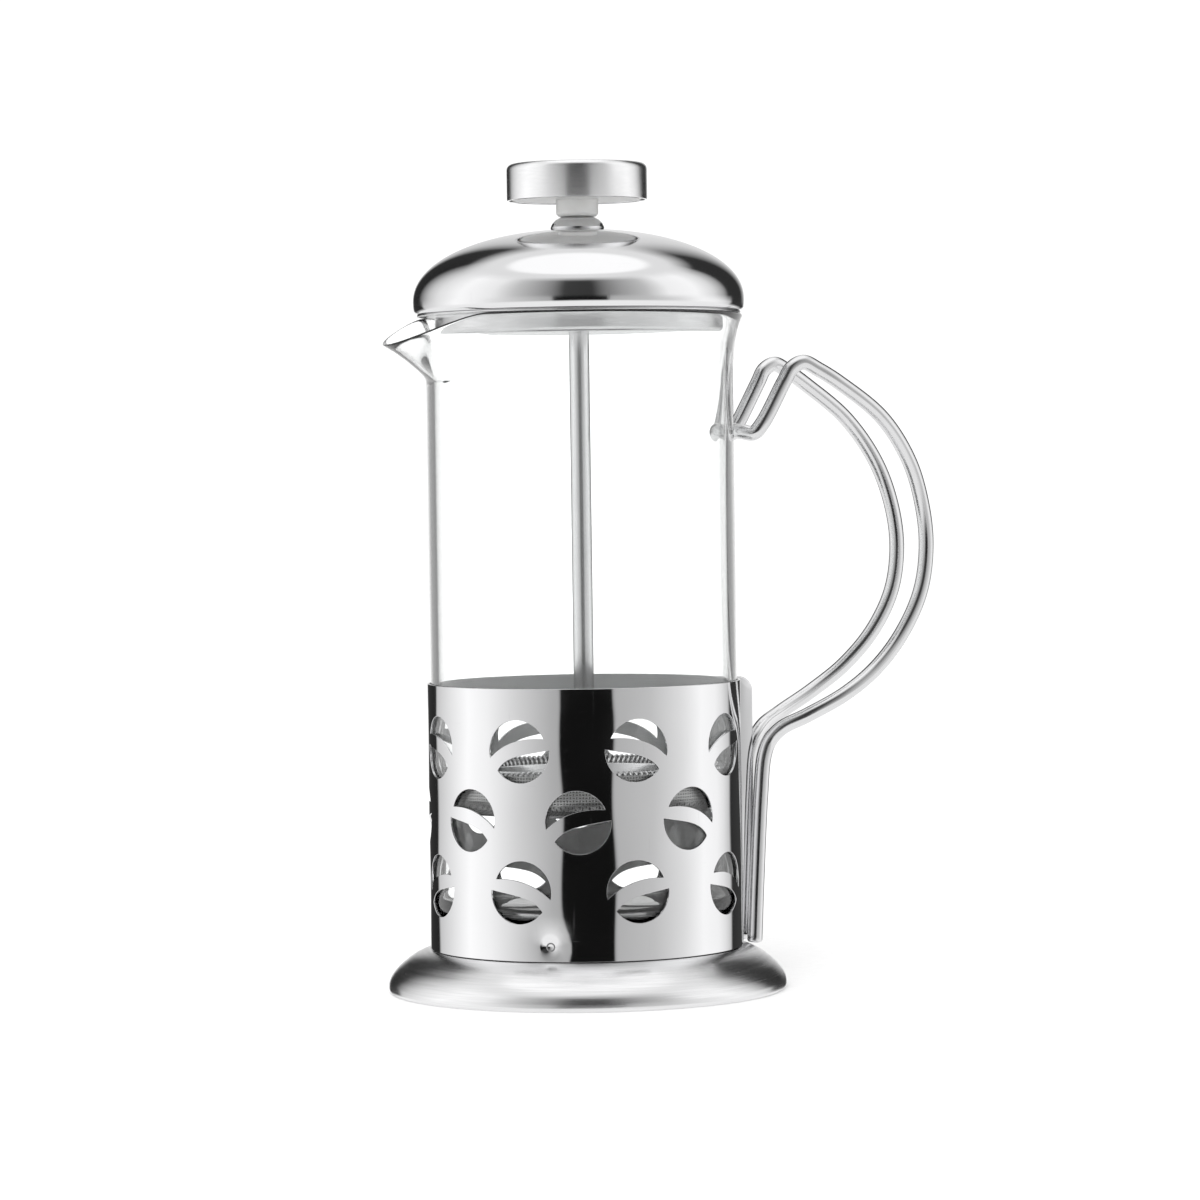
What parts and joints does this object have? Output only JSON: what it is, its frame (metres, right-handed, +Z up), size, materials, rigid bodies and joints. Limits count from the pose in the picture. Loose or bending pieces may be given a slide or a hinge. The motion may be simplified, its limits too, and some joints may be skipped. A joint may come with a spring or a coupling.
{
  "type": "french press",
  "caption": "French press: glass beaker with a spout in a pierced steel sleeve on a round base, wire handle, domed lid, plunger rod with a round knob and a sprung mesh filter.",
  "frame": {"origin": "on the surface the press stands on, under the middle of its bounding box; the pot's own axis is at x = -19.25 mm", "axes": "+Z up along the pot's axis, +X towards the handle, -X towards the spout, +Y to the left when the handle points at you"},
  "size_m": [0.1323, 0.091, 0.1885],
  "materials": {
    "polished_steel": "mirror polished stainless sheet",
    "satin_steel": "satin spun stainless sheet",
    "wire_steel": "polished stainless wire",
    "woven_steel": "woven stainless wire cloth",
    "glass": "clear heat resistant glass",
    "white_plastic": "white, slightly translucent",
    "brass": "turned"
  },
  "bodies": {
    "holder": {"base_dish": "satin_steel", "sleeve": "polished_steel", "handle_bracket": "polished_steel", "handle_wire": "wire_steel", "foot_rivet_1": "satin_steel", "foot_rivet_2": "satin_steel"},
    "beaker": {"beaker": "glass"},
    "lid": {"lid_dome": "polished_steel", "lid_liner": "satin_steel", "lid_ferrule": "polished_steel", "lid_bush": "white_plastic", "lid_nut": "satin_steel"},
    "plunger": {"plunger_rod": "wire_steel", "rod_collar": "satin_steel"},
    "knob": {"knob_cap": "satin_steel", "knob_insert": "white_plastic", "knob_nut": "brass"},
    "filter": {"spring_plate": "polished_steel", "edge_spring": "wire_steel", "filter_mesh": "woven_steel", "cross_plate": "satin_steel", "filter_nut": "satin_steel"}
  },
  "joints": [
    {"name": "beaker_lift", "type": "slide", "parent": "holder", "child": "beaker", "axis": [0, 0, 1], "range_m": [0, 0.056]},
    {"name": "lid_lift", "type": "slide", "parent": "beaker", "child": "lid", "axis": [0, 0, 1], "range_m": [0, 0.118]},
    {"name": "plunger_slide", "type": "slide", "parent": "lid", "child": "plunger", "axis": [0, 0, 1], "range_m": [0, 0.097]},
    {"name": "knob_unscrew", "type": "hinge", "parent": "plunger", "child": "knob", "pos_m": [-0.01925, 0, 0.183], "axis": [0, 0, 1], "continuous": true},
    {"name": "filter_unscrew", "type": "hinge", "parent": "plunger", "child": "filter", "pos_m": [-0.01925, 0, 0.042], "axis": [0, 0, 1], "continuous": true}
  ]
}
